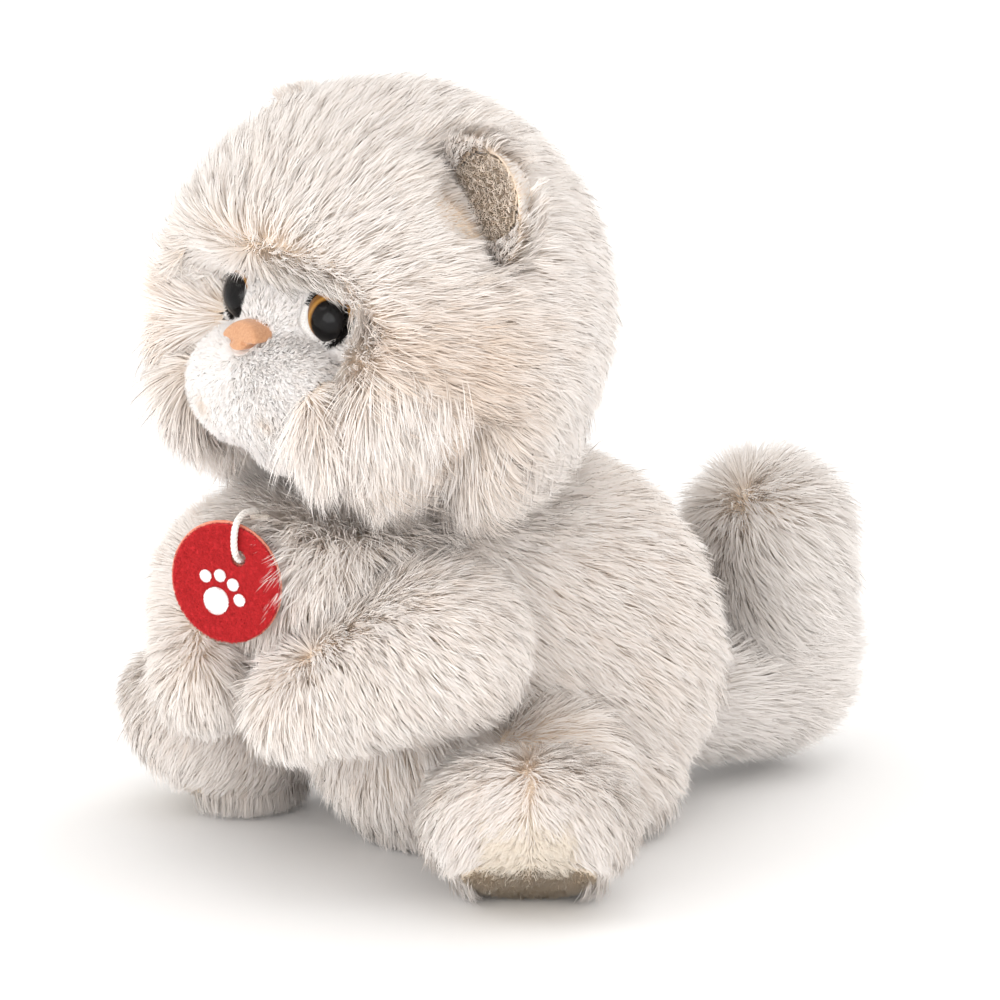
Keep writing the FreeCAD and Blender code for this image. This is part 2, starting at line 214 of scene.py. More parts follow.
def painted_eye_material(side):
    """The painted disc of a safety eye: a black pupil in an amber ring, round the eye's own axis."""
    mat, nodes, shader = new_material(f"eye_paint_{side}", 0.6, Specular_IOR_Level=0.05)
    place = new_node(nodes, "TexCoord")
    noise = new_node(nodes, "TexNoise", Scale=900)
    from_centre = new_node(nodes, "VectorMath", "SUBTRACT")
    from_centre.inputs[1].default_value = pupil_centre(side)
    across = new_node(nodes, "VectorMath", "CROSS_PRODUCT")
    across.inputs[1].default_value = eye_axis(side) / EYE_RADIUS
    from_axis = new_node(nodes, "VectorMath", "LENGTH")
    wander = new_node(nodes, "Math", "MULTIPLY_ADD")
    wander.inputs[1].default_value = 0.03
    tone = ramp(nodes, [
        (0.0, (0.003, 0.003, 0.004)),
        (0.80, (0.004, 0.003, 0.003)),
        (0.83, (0.22, 0.09, 0.015)),
        (0.90, (0.62, 0.32, 0.07)),
        (1.0, (0.30, 0.13, 0.03)),
    ])
    wire(place, "Object", noise, "Vector")
    wire(place, "Object", from_centre, 0)
    wire(from_centre, "Vector", across, 0)
    wire(across, "Vector", from_axis, 0)
    wire(noise, "Fac", wander, 0)
    wire(from_axis, "Value", wander, 2)
    wire(wander, 0, tone, "Fac")
    wire(tone, "Color", shader, "Base Color")
    return mat


WHITE_TINTS = [(0.0, (0.84, 0.72, 0.61)), (0.5, (0.96, 0.925, 0.895)), (0.85, (1.0, 1.0, 1.0))]
# Long pile: the beige roots are the underfur's own colour, painted lighter and warmer as well, to stand in
# for light scattered deep into the pile
LONG_PILE = strand_material(
    "long_pile",
    [(0.0, (0.95, 0.83, 0.72)), (0.35, (0.94, 0.87, 0.81)), (0.8, (0.935, 0.895, 0.865))],
    WHITE_TINTS,
)
FACE_PILE = strand_material(
    "face_pile", [(0.0, (0.93, 0.90, 0.88)), (0.9, (0.985, 0.965, 0.955))], WHITE_TINTS
)
TAN_PILE = strand_material(
    "tan_pile",
    [(0.0, (0.93, 0.80, 0.65)), (0.9, (0.97, 0.90, 0.80))],
    [(0.0, (0.88, 0.84, 0.80)), (1.0, (1.0, 1.0, 1.0))],
)
EAR_PILE = strand_material(
    "ear_pile",
    [(0.0, (0.99, 0.85, 0.72)), (0.9, (1.0, 0.92, 0.83))],
    [(0.0, (0.85, 0.80, 0.76)), (1.0, (1.0, 1.0, 1.0))],
)
# Near-black strands round each eye's rim: painted shade and dark reflection at the lens' lower edge
RIM_SHADE_PILE = strand_material(
    "rim_shade_pile", [(0.0, (0.006, 0.005, 0.005)), (1.0, (0.03, 0.025, 0.022))], WHITE_TINTS, 0.0
)
RED_FUZZ = strand_material(
    "red_fuzz", [(0.0, (0.42, 0.010, 0.012)), (1.0, (0.62, 0.022, 0.026))], WHITE_TINTS, 0.1
)
# The backing cloth's tan is deeper than the pile's: partly the cloth's colour, partly painted warm shade
# for the creases where it shows through
BACKING = woven_material("backing_cloth", (0.88, 0.72, 0.56), (0.95, 0.81, 0.67), 0.0008)
FACE_BACKING = woven_material("face_backing", (0.88, 0.85, 0.82), (0.94, 0.91, 0.89), 0.0008)
TAN_BACKING = woven_material("tan_backing", (0.84, 0.70, 0.54), (0.92, 0.80, 0.66), 0.0008)
BASE_CLOTH = woven_material("base_weave", (0.72, 0.66, 0.58), (0.86, 0.81, 0.74), 0.0010)
FILLING = noisy_material("filling", (0.80, 0.80, 0.80), (0.95, 0.95, 0.95), 260, 0.95, 0.5)
POUCH = woven_material("pouch_weave", (0.74, 0.74, 0.70), (0.88, 0.88, 0.85), 0.0006)
BEANS = noisy_material("bean_plastic", (0.66, 0.68, 0.70), (0.84, 0.86, 0.88), 420, 0.45, 0.8)
THREAD = noisy_material("thread", (0.66, 0.60, 0.52), (0.84, 0.79, 0.72), 1800, 0.8, 0.5)
DARK_THREAD = noisy_material("mouth_thread_fibre", (0.10, 0.07, 0.06), (0.20, 0.15, 0.12), 1800, 0.8, 0.5)
SUEDE = noisy_material(
    "nose_suede", (0.52, 0.25, 0.125), (0.63, 0.345, 0.19), 1500, 0.85, 0.5, Sheen_Weight=0.3
)
WASHER = noisy_material("washer_plastic", (0.80, 0.80, 0.76), (0.88, 0.88, 0.85), 300, 0.5, 0.05)
LENS = noisy_material(
    "lens_plastic", (0.97, 0.95, 0.93), (1.0, 0.99, 0.98), 40, 0.09, 0.0, Transmission_Weight=1.0, IOR=1.27
)
FELT = noisy_material(
    "red_felt", (0.40, 0.006, 0.010), (0.60, 0.014, 0.020), 900, 0.95, 0.9, Sheen_Weight=0.15
)
FELT_EDGE = noisy_material("salmon_felt", (0.80, 0.25, 0.16), (0.92, 0.38, 0.27), 900, 0.95, 0.9)
EMBROIDERY = noisy_material(
    "embroidery", (0.84, 0.80, 0.80), (0.95, 0.93, 0.93), 1600, 0.5, 0.4, Sheen_Weight=0.3
)
TWINE = noisy_material(
    "cord_fibre", (0.76, 0.71, 0.66), (0.93, 0.90, 0.86), 2200, 0.8, 0.6, Sheen_Weight=0.2
)
# slots of the record with the pile or cloth that shows them
FUR, FUR_CLOTH = ("long_pile_fur", LONG_PILE), ("long_pile_fur", BACKING)
PLUSH, PLUSH_CLOTH = ("tan_plush", TAN_PILE), ("tan_plush", TAN_BACKING)


# Mesh helpers

def new_object(name, data):
    made = bpy.data.objects.new(name, data)
    bpy.context.scene.collection.objects.link(made)
    return made


def new_piece(name, body, slot, material, verts, faces):
    mesh = bpy.data.meshes.new(name)
    mesh.from_pydata([tuple(v) for v in verts], [], [tuple(f) for f in faces])
    return as_piece(name, body, material, mesh)


def as_piece(name, body, material, mesh):
    mesh.polygons.foreach_set("use_smooth", [True] * len(mesh.polygons))
    wear(mesh, material)
    piece = new_object(name, mesh)
    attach(piece, body)
    return piece


def wear(mesh, material):
    mesh.materials.clear()
    mesh.materials.append(material)


def voxels(size):
    return "REMESH", {"mode": "VOXEL", "voxel_size": size}


def smoothing(rounds):
    return "SMOOTH", {"factor": 0.5, "iterations": rounds}


def shaped(mesh, *modifiers):
    """A mesh with modifiers applied, each given as (type, {setting: value})."""
    worker = new_object("worker", mesh)
    for kind, settings in modifiers:
        modifier = worker.modifiers.new(kind, kind)
        for key, value in settings.items():
            setattr(modifier, key, value)
    graph = bpy.context.evaluated_depsgraph_get()
    made = bpy.data.meshes.new_from_object(worker.evaluated_get(graph), depsgraph=graph)
    bpy.data.objects.remove(worker)
    return made


def mesh_from(pool):
    mesh = bpy.data.meshes.new("form")
    pool.to_mesh(mesh)
    pool.free()
    return mesh


def joined(names):
    """One mesh of several CAD nodes."""
    pool = bmesh.new()
    for name in names:
        pool.from_mesh(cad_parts[name].data)
    return mesh_from(pool)


def outer_shell(mesh):
    """The largest connected part of a mesh, so that no closed-in hollow is left."""
    pool = bmesh.new()
    pool.from_mesh(mesh)
    waiting, shells = set(pool.verts), []
    while waiting:
        stack, shell = [waiting.pop()], []
        while stack:
            vert = stack.pop()
            shell.append(vert)
            for edge in vert.link_edges:
                other = edge.other_vert(vert)
                if other in waiting:
                    waiting.remove(other)
                    stack.append(other)
        shells.append(shell)
    shells.sort(key=len)
    bmesh.ops.delete(pool, geom=[v for shell in shells[:-1] for v in shell], context="VERTS")
    return mesh_from(pool)


def read(mesh, what="co"):
    values = np.zeros(len(mesh.vertices) * 3, np.float32)
    if what == "co":
        mesh.vertices.foreach_get("co", values)
    else:
        mesh.vertex_normals.foreach_get("vector", values)
    return values.reshape(-1, 3).astype(float)


def write(mesh, points):
    mesh.vertices.foreach_set("co", points.astype(np.float32).ravel())
    mesh.update()


def soft_form(names, voxel, grow, rounds=6):
    """The stuffed form of CAD nodes, with softened creases, moved out by a distance or by a function."""
    mesh = shaped(joined(names), voxels(voxel))
    mesh = shaped(outer_shell(mesh), smoothing(rounds))
    points, normals = read(mesh), read(mesh, "normal")
    write(mesh, points + (grow(points, normals) if callable(grow) else normals * grow))
    return shaped(mesh, smoothing(2))


def tree_of(mesh):
    return BVHTree.FromPolygons([v.co for v in mesh.vertices], [tuple(p.vertices) for p in mesh.polygons])


def signed_distance(points, tree):
    found = np.empty(len(points))
    for i, point in enumerate(points):
        place, normal, _, distance = tree.find_nearest(Vector(point))
        found[i] = distance if (Vector(point) - place).dot(normal) > 0 else -distance
    return found


def tube(paths, radius, sides=6):
    """Closed round tubes along paths, an array of (paths, points, 3), as vertices and faces."""
    verts, faces = [], []
    for path in paths:
        ahead = unit(np.gradient(path, axis=0))
        side = unit(np.cross(ahead, UP + 0.01))
        rise = np.cross(side, ahead)
        start = len(verts)
        for i, point in enumerate(path):
            for k in range(sides):
                a = 2 * pi * k / sides
                verts.append(point + (side[i] * cos(a) + rise[i] * sin(a)) * radius)
        for i in range(len(path) - 1):
            for k in range(sides):
                a, b = start + i * sides + k, start + i * sides + (k + 1) % sides
                faces.append((a, b, b + sides, a + sides))
        faces.append(tuple(range(start + sides - 1, start - 1, -1)))
        faces.append(tuple(range(len(verts) - sides, len(verts))))
    return verts, faces


# Pile

def scatter(skin, count, rng):
    """Root places spread over a skin: position, normal, comb direction, length share and tone."""
    mesh = skin["mesh"]
    mesh.calc_loop_triangles()
    triangles = np.zeros(len(mesh.loop_triangles) * 3, np.int32)
    mesh.loop_triangles.foreach_get("vertices", triangles)
    triangles = triangles.reshape(-1, 3)
    points = skin["points"]
    a, b, c = (points[triangles[:, i]] for i in range(3))
    area = np.linalg.norm(np.cross(b - a, c - a), axis=1)
    chance = area * skin["keep"][triangles].mean(1)
    chosen = rng.choice(len(triangles), count, p=chance / chance.sum())
    u, v = rng.random((2, count))
    flip = u + v > 1
    u, v = np.where(flip, 1 - u, u), np.where(flip, 1 - v, v)
    weights = np.stack([1 - u - v, u, v], 1)
    rows = triangles[chosen]

    def mixed(values):
        return np.einsum("ij,ij...->i...", weights, values[rows])

    roots, normals = mixed(points), unit(mixed(skin["normals"]))
    flow = along_skin(mixed(skin["flow"]), normals)
    return roots, normals, flow, mixed(skin["length"]), mixed(skin["tone"])


def strand_paths(roots, normals, flow, length, lean, segments):
    """Curved strands that leave the skin at a lean from its normal and bend over along the comb."""
    step = (length / segments)[:, None]
    points = [roots]
    for i in range(segments):
        share = i / max(segments - 1, 1)
        angle = (lean[:, 0] * (1 - share) + lean[:, 1] * share)[:, None]
        points.append(points[-1] + step * (normals * np.cos(angle) + flow * np.sin(angle)))
    return np.stack(points, 1)


def nearest_clump(roots, centres):
    tree = KDTree(len(centres))
    for i, point in enumerate(roots[centres]):
        tree.insert(Vector(point), i)
    tree.balance()
    return np.fromiter((tree.find(Vector(p))[1] for p in roots), int, len(roots))


def combed(skin, count, style, rng):
    """Strand paths with their tones: every clump has a bend of its own, and its tips draw together."""
    roots, normals, flow, share, tone = scatter(skin, count, rng)
    clumps = max(8, int(count / style["per_clump"]))
    centres = rng.choice(count, clumps, replace=False)
    which = nearest_clump(roots, centres)
    turn = rng.normal(0, style["clump_turn"], clumps)[which] + rng.normal(0, style["turn"], count)
    flow = turned_about(flow, normals, turn)
    length = style["length"] * share * rng.uniform(0.78, 1.06, count)
    length *= rng.normal(1, 0.07, clumps)[which]
    lean = np.radians(np.array(style["lean"]))[None, :] * np.ones((count, 1))
    lean += rng.normal(0, style["clump_lean"], clumps)[which][:, None]
    lean += rng.normal(0, style["loose"], (count, 2)) * np.array([0.5, 1.0])
    paths = strand_paths(roots, normals, flow, length, lean, style["segments"])
    target = paths[centres][which]
    t = np.linspace(0, 1, style["segments"] + 1)[None, :, None]
    hold = style["pull"] * rng.uniform(0.4, 1.2, count)[:, None, None] * t**1.4
    paths = paths + (target - paths) * np.clip(hold, 0, 0.95)
    tone = np.clip(tone + rng.normal(0, 0.09, clumps)[which] + rng.normal(0, 0.06, count), 0.01, 0.99)
    return paths, normals, tone


def ribbons(name, paths, normals, tone, width, rng):
    """A mesh of slim blades, one along each path, that turn their flat side outward."""
    count, points = paths.shape[:2]
    ahead = unit(np.gradient(paths, axis=1))
    side = unit(np.cross(ahead, normals[:, None, :]))
    roll = rng.normal(0, 0.6, count)
    side = np.stack([turned_about(side[:, i], ahead[:, i], roll) for i in range(points - 1)], 1)
    shape = 1 - (np.arange(points - 1) / (points - 1)) ** 2 * 0.6
    half = side * (width / 2 * shape)[None, :, None] * rng.uniform(0.7, 1.3, (count, 1, 1))
    body = paths[:, :-1]
    pairs = np.stack([body - half, body + half], 2).reshape(count, -1, 3)
    verts = np.concatenate([pairs, paths[:, -1:]], 1)
    per = 2 * (points - 1) + 1
    faces = []
    shares = np.append(np.repeat(np.arange(points - 1), 2), points - 1) / (points - 1)
    for i in range(points - 2):
        a = 2 * i
        faces += [(a, a + 1, a + 3), (a, a + 3, a + 2)]
    faces.append((per - 3, per - 2, per - 1))
    faces = np.array(faces)
    along = shares[faces.ravel()]
    index = (faces.ravel()[None, :] + (np.arange(count) * per)[:, None]).ravel()
    mesh = bpy.data.meshes.new(name)
    mesh.vertices.add(count * per)
    mesh.vertices.foreach_set("co", verts.astype(np.float32).ravel())
    mesh.loops.add(len(index))
    mesh.loops.foreach_set("vertex_index", index.astype(np.int32))
    mesh.polygons.add(len(index) // 3)
    mesh.polygons.foreach_set("loop_start", np.arange(0, len(index), 3, dtype=np.int32))
    layer = mesh.uv_layers.new(name="OFBake")
    uv = np.stack([np.repeat(tone, len(along)), np.tile(along, count)], 1)
    layer.data.foreach_set("uv", uv.astype(np.float32).ravel())
    mesh.update()
    mesh.validate()
    mesh.polygons.foreach_set("use_smooth", np.ones(len(mesh.polygons), bool))
    flat = np.cross(side, ahead[:, :-1])
    soft = np.repeat(unit(flat + normals[:, None, :] * SOFT_SHADING), 2, axis=1)
    tips = unit(flat[:, -1:] + normals[:, None, :] * SOFT_SHADING)
    shading = np.concatenate([soft, tips], 1).reshape(-1, 3)
    mesh.normals_split_custom_set_from_vertices(shading.astype(np.float32))
    return mesh


def blocked(paths, rooms):
    """Strands that pass through round rooms, such as the one in front of an eye."""
    hit = np.zeros(len(paths), bool)
    for centre, axis, radius, back, front in rooms:
        offset = paths - centre
        depth = offset @ axis
        across = far_from(offset, depth[..., None] * axis)
        hit |= ((across < radius) & (depth > back) & (depth < front)).any(1)
    return hit


def grow_pile(name, body, slot, material, skin, count, style, seed, groups=1, clear=True):
    """Strands all over a skin, as one piece or as several that share the strands out by side."""
    share = 1
    width = style["width"] * share**0.5
    rng = np.random.default_rng(seed)
    paths, normals, tone = combed(skin, count // share, style, rng)
    if clear:
        for kept in SHORTENINGS:
            near = blocked(paths, KEEP_CLEAR + KEEP_SHORT)
            paths[near] = paths[near, :1] + (paths[near] - paths[near, :1]) * kept
        free = ~blocked(paths, KEEP_CLEAR)
        paths, normals, tone = paths[free], normals[free], tone[free]
    paths[..., 2] = np.maximum(paths[..., 2], FLOOR_CLEARANCE)
    middle = paths[:, 0].mean(0)
    order = np.argsort(np.arctan2(paths[:, 0, 0] - middle[0], paths[:, 0, 1] - middle[1]))
    for i, rows in enumerate(np.array_split(order, groups)):
        label = name if groups == 1 else f"{name}_{i + 1}"
        mesh = ribbons(label, paths[rows], normals[rows], tone[rows], width, rng)
        as_piece(label, body, material, mesh)


FLOOR_CLEARANCE = 0.0003
# how much more a strand's shading follows the skin than its own blade
SOFT_SHADING = 6.0
# how a strand that is in the way of a room is cut back, step by step
SHORTENINGS = (0.7, 0.5, 0.6)
CLOTH_THICKNESS = 0.0008
DEFAULT_TONE = 0.68
LONG = {
    "length": 0.0145, "lean": (44, 78), "per_clump": 12, "clump_turn": 0.15, "turn": 0.16,
    "clump_lean": 0.08, "loose": 0.14, "pull": 0.28, "segments": 3, "width": 0.00027,
}
MEDIUM = {**LONG, "length": 0.011, "lean": (42, 76), "width": 0.00025}
SHORT = {
    "length": 0.0036, "lean": (15, 50), "per_clump": 10, "clump_turn": 0.3, "turn": 0.3,
    "clump_lean": 0.12, "loose": 0.25, "pull": 0.3, "segments": 2, "width": 0.00024,
}


EYES = {side: middle_of(f"eye_lens_{side}") for side in SIDES}
EYE_RADIUS = 0.0078
PUPIL_DROP = 0.0012
PUPIL_ASIDE = 0.0020
# Round rooms kept free of strands: radius, and reach from back to front along the room's axis
EYE_ROOM = (0.0070, -0.004, 0.03)
EYE_SIDE_ROOM = (0.0060, 0.0, 0.022)
EAR_ROOM = (0.0125, 0.0005, 0.028)
NOSE_ROOM = (0.0062, -0.004, 0.02)
TAG_ROOM = (0.0170, -0.003, 0.03)


def eye_axis(side):
    """The lens' direction, from the washer's middle to the lens' middle."""
    return unit(EYES[side] - middle_of(f"eye_washer_{side}"))


def ear_axes(side):
    """The ear's upward and forward directions, and the middle of its lining."""
    up = unit(middle_of(f"ear_cover_{side}") - HEAD)
    return up, unit(FRONT + up[1] * up), middle_of(f"ear_lining_{side}")


def pupil_centre(side):
    """The pupil sits low and outward in the painted disc, so that more amber shows above it."""
    return EYES[side] - UP * PUPIL_DROP + SIDEWAYS * SIDES[side] * PUPIL_ASIDE


def rooms_by_face():
    """The rooms where no strand may pass, and those where long strands are only shortened."""
    clear = [(NOSE + UP * 0.001, FRONT, *NOSE_ROOM), (TAG - TAG_RIGHT * 0.003, TAG_OUT, *TAG_ROOM)]
    short = []
    for side, sign in SIDES.items():
        eye, axis = EYES[side], eye_axis(side)
        clear.append((eye - SIDEWAYS * sign * 0.0013, axis, *EYE_ROOM))
        short.append((eye, unit(axis + vec(sign * 0.55, 0, 0.05)), *EYE_SIDE_ROOM))
        up, forward, lining = ear_axes(side)
        short.append((lining + up * 0.001, unit(forward + vec(sign * 0.9, 0, 0.25)), *EAR_ROOM))
    return clear, short


TAG = middle_of("tag_felt")
KEEP_CLEAR, KEEP_SHORT = rooms_by_face()


def dress_skin(mesh, comb, length=None, keep=None, tone=None):
    """A skin with what its pile needs at every vertex."""
    points, normals = read(mesh), read(mesh, "normal")
    ones = np.ones(len(points))
    return dict(
        mesh=mesh,
        points=points,
        normals=normals,
        flow=along_skin(comb(points, normals), normals),
        length=length(points, normals) if length else ones,
        keep=keep(points, normals) if keep else ones,
        tone=tone(points, normals) if tone else ones * DEFAULT_TONE,
    )


def skin_piece(name, body, slot, material, mesh, nodes, fill=0.8):
    """The backing cloth of a stuffed part, in place of its plain CAD cover."""
    cloth = shaped(mesh.copy(), ("SOLIDIFY", {"thickness": CLOTH_THICKNESS, "offset": -1}))
    piece = as_piece(name, body, material, cloth)
    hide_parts(*nodes)


def part_of(mesh, wanted):
    """The faces of a mesh whose vertices are all wanted, as a mesh of its own."""
    pool = bmesh.new()
    pool.from_mesh(mesh)
    pool.verts.ensure_lookup_table()
    unwanted = [face for face in pool.faces if not all(wanted[v.index] for v in face.verts)]
    bmesh.ops.delete(pool, geom=unwanted, context="FACES")
    return mesh_from(pool)


# Camera, light and floor

def make_camera():
    azimuth, elevation = radians(VIEW_AZIMUTH), radians(VIEW_ELEVATION)
    back = Vector((sin(azimuth) * cos(elevation), -cos(azimuth) * cos(elevation), sin(elevation)))
    right = Vector((cos(azimuth), sin(azimuth), 0))
    data = bpy.data.cameras.new("camera")
    data.lens = data.sensor_width * VIEW_DISTANCE / VIEW_WIDTH
    camera = new_object("camera", data)
    target = right * VIEW_RIGHT + back.cross(right) * VIEW_UP
    camera.location = target + back * VIEW_DISTANCE
    camera.rotation_mode = "QUATERNION"
    camera.rotation_quaternion = (-back).to_track_quat("-Z", "Y")
    bpy.context.scene.camera = camera


def area_light(name, place, aim, size, power, colour=(1, 1, 1)):
    data = bpy.data.lights.new(name, "AREA")
    data.shape = "DISK"
    data.size = size
    data.energy = power
    data.color = colour
    light = new_object(name, data)
    light.location = place
    light.rotation_mode = "QUATERNION"
    light.rotation_quaternion = (Vector(aim) - Vector(place)).to_track_quat("-Z", "Y")


def make_studio():
    scene = bpy.context.scene
    scene.view_settings.view_transform = "Standard"
    world = bpy.data.worlds.new("studio")
    world.use_nodes = True
    set_inputs(world.node_tree.nodes["Background"], Color=(1.0, 0.978, 0.955, 1), Strength=1.06)
    scene.world = world
    middle = (0, 0, 0.11)
    area_light("key", (-0.35, -1.1, 1.15), middle, 0.8, 2.3, (1.0, 0.99, 0.98))
    area_light("top", (0.2, 0.1, 1.5), middle, 1.2, 1.6)
    area_light("back", (-0.5, 1.3, 0.8), middle, 0.9, 3.0)
    area_light("low_front", (0.35, -0.9, 0.14), (0, -0.05, 0.04), 0.8, 4.6)
    area_light("low_back", (0.95, 0.40, 0.20), (0, 0.09, 0.06), 0.5, 1.4)
    mesh = bpy.data.meshes.new("floor")
    reach = 15
    corners = [(-reach, -reach, 0), (reach, -reach, 0), (reach, reach, 0), (-reach, reach, 0)]
    mesh.from_pydata(corners, [], [(0, 1, 2, 3)])
    mesh.materials.append(noisy_material("studio_floor", (0.93,) * 3, (0.95,) * 3, 3, 0.7, 0.0))
    new_object("floor", mesh)


# Tag and cord

def on_tag(right, up, out=0.0):
    """A point from the tag's middle, with the tag leaning over in its own plane."""
    across = right * cos(TAG_LEAN) + up * sin(TAG_LEAN)
    rise = up * cos(TAG_LEAN) - right * sin(TAG_LEAN)
    return TAG + TAG_RIGHT * across + UP * rise + TAG_OUT * out


FELT_HALF = 0.00065
SATIN_PITCH = 0.00038
SATIN_RADIUS = 0.00024
HOLE_UP = 0.009
# the cord's route: out from the tag's back and up from the middle of its hole
CORD_ROUTE = [
    (-10.6, 11.8),
    (-6.2, 12.7),
    (-1.6, 13.0),
    (2.4, 10.9),
    (3.7, 6.6),
    (3.3, 2.2),
    (0.6, -0.9),
    (-3.2, -0.6),
    (-6.4, 2.9),
    (-9.6, 7.6),
]
CORD_RADIUS = 0.0011
PLIES = 3
PLY_RADIUS = 0.00058
PLY_TURNS = 9


def cord_points():
    """Evenly spaced points of the cord's own smooth curve."""
    hole = on_tag(0, HOLE_UP, -FELT_HALF)
    data = bpy.data.curves.new("route", "CURVE")
    data.dimensions = "3D"
    data.resolution_u = 12
    spline = data.splines.new("NURBS")
    spline.points.add(len(CORD_ROUTE) - 1)
    for point, (out, up) in zip(spline.points, CORD_ROUTE):
        point.co = (*(hole + TAG_OUT * out * MM + UP * up * MM), 1)
    spline.order_u = 3
    spline.use_endpoint_u = True
    worker = bpy.data.objects.new("route", data)
    mesh = bpy.data.meshes.new_from_object(worker)
    points = read(mesh)
    bpy.data.objects.remove(worker)
    return points


def make_cord(tag_pieces):
    """Plies twisted together along the loop."""
    path = cord_points()
    ahead = unit(np.gradient(path, axis=0))
    side = unit(np.cross(ahead, TAG_RIGHT))
    other = np.cross(ahead, side)
    share = np.linspace(0, 1, len(path))
    plies = []
    for ply in range(PLIES):
        angle = (share * PLY_TURNS + ply / PLIES) * 2 * pi
        offset = side * np.cos(angle)[:, None] + other * np.sin(angle)[:, None]
        plies.append(path + offset * (CORD_RADIUS - PLY_RADIUS))
    cord = new_piece("tag_cord_plies", "hang_tag", "cotton_cord", TWINE, *tube(plies, PLY_RADIUS, 8))
    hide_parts("tag_cord")


def felt_disc(name, node, material, spread, aside=0.0):
    """A soft-edged felt disc, with the hole for the cord."""
    mesh = shaped(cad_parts[node].data.copy(), voxels(0.00035), smoothing(3))
    points = read(mesh)
    offset = points - TAG
    in_plane = offset - (offset @ TAG_OUT)[:, None] * TAG_OUT
    write(mesh, points + in_plane * spread - TAG_RIGHT * aside)
    piece = as_piece(name, "hang_tag", material, mesh)
    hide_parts(node)
    return piece


def make_tag():
    front = felt_disc("tag_felt_front", "tag_felt", FELT, 0.0)
    back = felt_disc("tag_felt_back", "tag_backing", FELT_EDGE, 0.03, 0.0006)
    skin = dress_skin(front.data, lambda p, n: np.ones_like(p) * -UP,
                      keep=lambda p, n: ease((n @ TAG_OUT), -0.2, 0.2))
    style = {**SHORT, "length": 0.0009, "lean": (35, 75), "width": 0.00011, "turn": 1.5, "clump_turn": 1.0}
    grow_pile("tag_fuzz", "hang_tag", "red_felt", RED_FUZZ, skin, 16000, style, 41, clear=False)
    threads = []
    for right, up, radius in paw_pads():
        threads += satin(right, up, radius)
    paw = new_piece("tag_paw_stitches", "hang_tag", "white_embroidery", EMBROIDERY,
                    *tube(threads, SATIN_RADIUS))
    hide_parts("tag_motif")
    return [front, back, bpy.data.objects["tag_fuzz"], paw]


def paw_pads():
    """The palm and four toes of the paw print, in the tag's plane."""
    pads = [(0, -6.5, 4.2)]
    for angle in (-54, -18, 18, 54):
        toe = radians(angle)
        pads.append((8.0 * sin(toe), -6.5 + 8.0 * cos(toe), 1.9))
    return [(right * MM, up * MM, radius * MM) for right, up, radius in pads]


def satin(right, up, radius):
    """Parallel threads that fill a round pad and dip into the felt at both ends."""
    rows, count = [], int(2 * radius / SATIN_PITCH)
    for i in range(count):
        across = -radius + (i + 0.5) * 2 * radius / count
        half = (radius**2 - across**2) ** 0.5
        s = np.linspace(-1, 1, 7)
        lift = FELT_HALF + 0.00012 + 0.00034 * np.sqrt(np.maximum(0, 1 - s**4))
        rows.append(np.array([on_tag(right + across, up + half * k, h) for k, h in zip(s, lift)]))
    return rows


# Head

CHIN_HALF_WIDTH = 0.0195
FACE_PAST_EYE = 0.0095
FACE_ABOVE_EYES = 0.011
CHIN_ROUNDING = 0.016
UNDERFUR_RADIUS = HEAD_RADIUS - 0.0078
FACE_UNDERFUR = 0.0012
RUFF_HEIGHT = 0.0030
BRIDGE_HEIGHT = 0.0062
MOUTH_DEPTH = 0.0042


def face_share(points):
    """1 on the face and 0 on the rest of the head, with a soft border: an egg, narrow at the chin."""
    eyes = EYES["left"]
    low = FACE_BOTTOM - 0.002
    share = np.clip((points[:, 2] - low) / (eyes[2] - low), 0, 1)
    half_width = CHIN_HALF_WIDTH + (eyes[0] + FACE_PAST_EYE - CHIN_HALF_WIDTH) * share
    above = np.maximum(points[:, 2] - eyes[2], 0) / FACE_ABOVE_EYES
    below = np.maximum(low + CHIN_ROUNDING - points[:, 2], 0) / CHIN_ROUNDING
    away = np.hypot(points[:, 0] / half_width, np.maximum(above, below))
    return (1 - ease(away, 0.92, 1.08)) * (points[:, 1] < HEAD[1] - 0.012)


def off_eyes(points, least, near, far):
    """1 away from both eyes, and `least` close to either."""
    share = np.ones(len(points))
    for side in SIDES:
        distance = far_from(points, EYES[side])
        share *= least + (1 - least) * ease(distance, near, far)
    return share


def head_growth(p, n):
    """The head's backing lies close to the filling on the face, and well outside it under long pile."""
    outside = 1 - face_share(p)
    before_ear = 0.45 + 0.55 * ease(ear_distance(p), 0.002, 0.022)
    out = unit(p - HEAD)
    depth = UNDERFUR_RADIUS + RUFF_HEIGHT * cheek_share(p) - far_from(p, HEAD)
    under_pile = np.maximum(depth, 0) * outside * off_eyes(p, 0.80, 0.010, 0.020) * before_ear
    return n * (FACE_UNDERFUR * (1 - outside))[:, None] + out * under_pile[:, None]


def cheek_share(points):
    """1 on the ruff of fur that stands round the face, and 0 away from it."""
    ahead = unit(points - HEAD) @ FRONT
    low = ease(HEAD[2] + 0.030 - points[:, 2], 0.0, 0.03)
    return ease(ahead, 0.40, 0.66) * low


def face_relief(points):
    """The bridge over the nose stands out, and the thread draws the mouth's two corners in."""
    moved = points.copy()
    bridge = np.hypot(points[:, 0] / 0.010, (points[:, 2] - NOSE[2] - 0.006) / 0.011)
    moved[:, 1] -= BRIDGE_HEIGHT * np.exp(-(bridge**2)) * face_share(points)
    for corner in MOUTH_CORNERS:
        far = far_from(points, corner)
        moved[:, 1] += MOUTH_DEPTH * np.exp(-((far / 0.0042) ** 2))
        moved[:, 2] += 0.0010 * np.exp(-((far / 0.0060) ** 2))
    return moved


